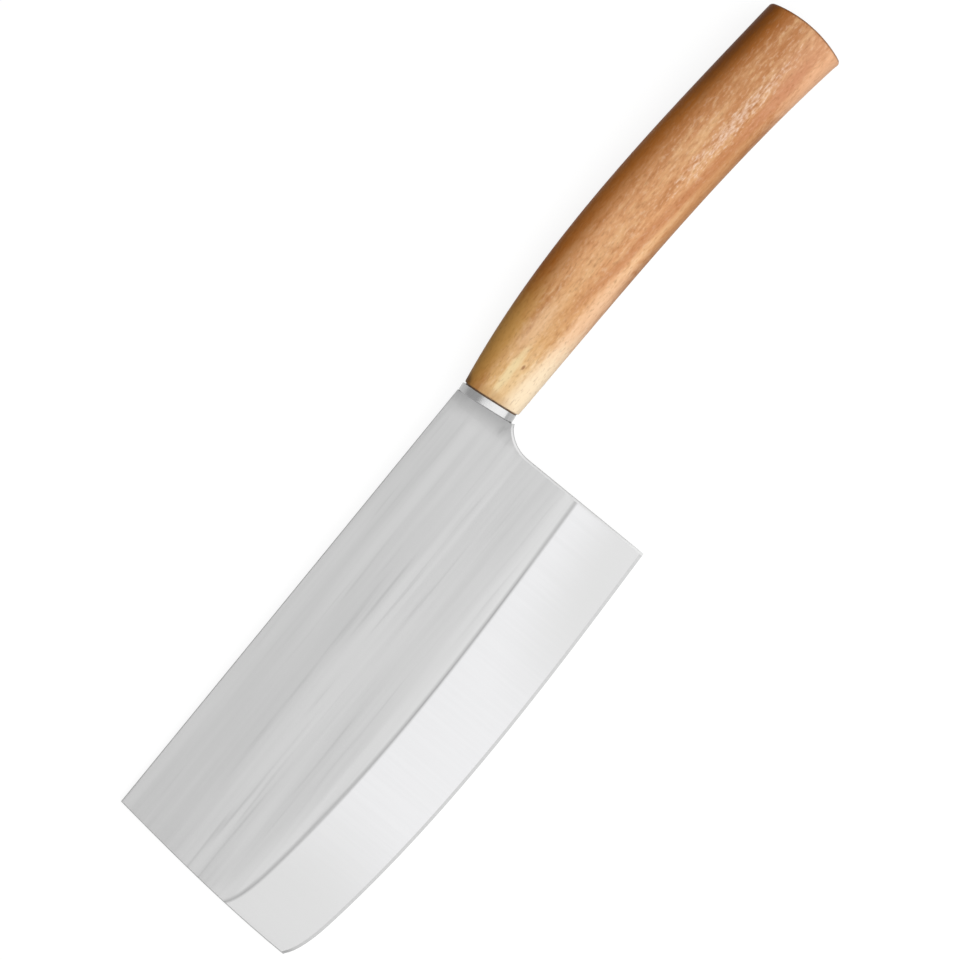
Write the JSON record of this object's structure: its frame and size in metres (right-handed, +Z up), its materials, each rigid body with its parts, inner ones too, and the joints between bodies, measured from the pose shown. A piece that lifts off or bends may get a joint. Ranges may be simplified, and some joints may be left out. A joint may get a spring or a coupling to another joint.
{
  "type": "japanese cleaver",
  "caption": "Rectangular double-bevel kitchen cleaver with an arched ground bevel, polished oval collar and curved one-piece wooden handle on a hidden tang, lying on its side.",
  "frame": {"origin": "on the table, under the middle of the knife's box as it lies on its side", "axes": "+X from the blade's front to the handle's butt, +Y from the cutting edge to the spine, +Z up, out of the face that lies upwards"},
  "size_m": [0.3222, 0.0832, 0.0237],
  "materials": {
    "blade_steel": "stainless steel, flats drawn lengthwise with a fine satin belt, bevel ground finer and brighter",
    "bolster_steel": "stainless steel, polished",
    "handle_wood": "reddish-brown hardwood with short pores along the grain, satin oil finish",
    "bedding_resin": "cured dark epoxy resin"
  },
  "bodies": {
    "root": {"blade": "blade_steel", "bolster": "bolster_steel", "handle": "handle_wood", "tang_bedding": "bedding_resin"}
  },
  "joints": []
}
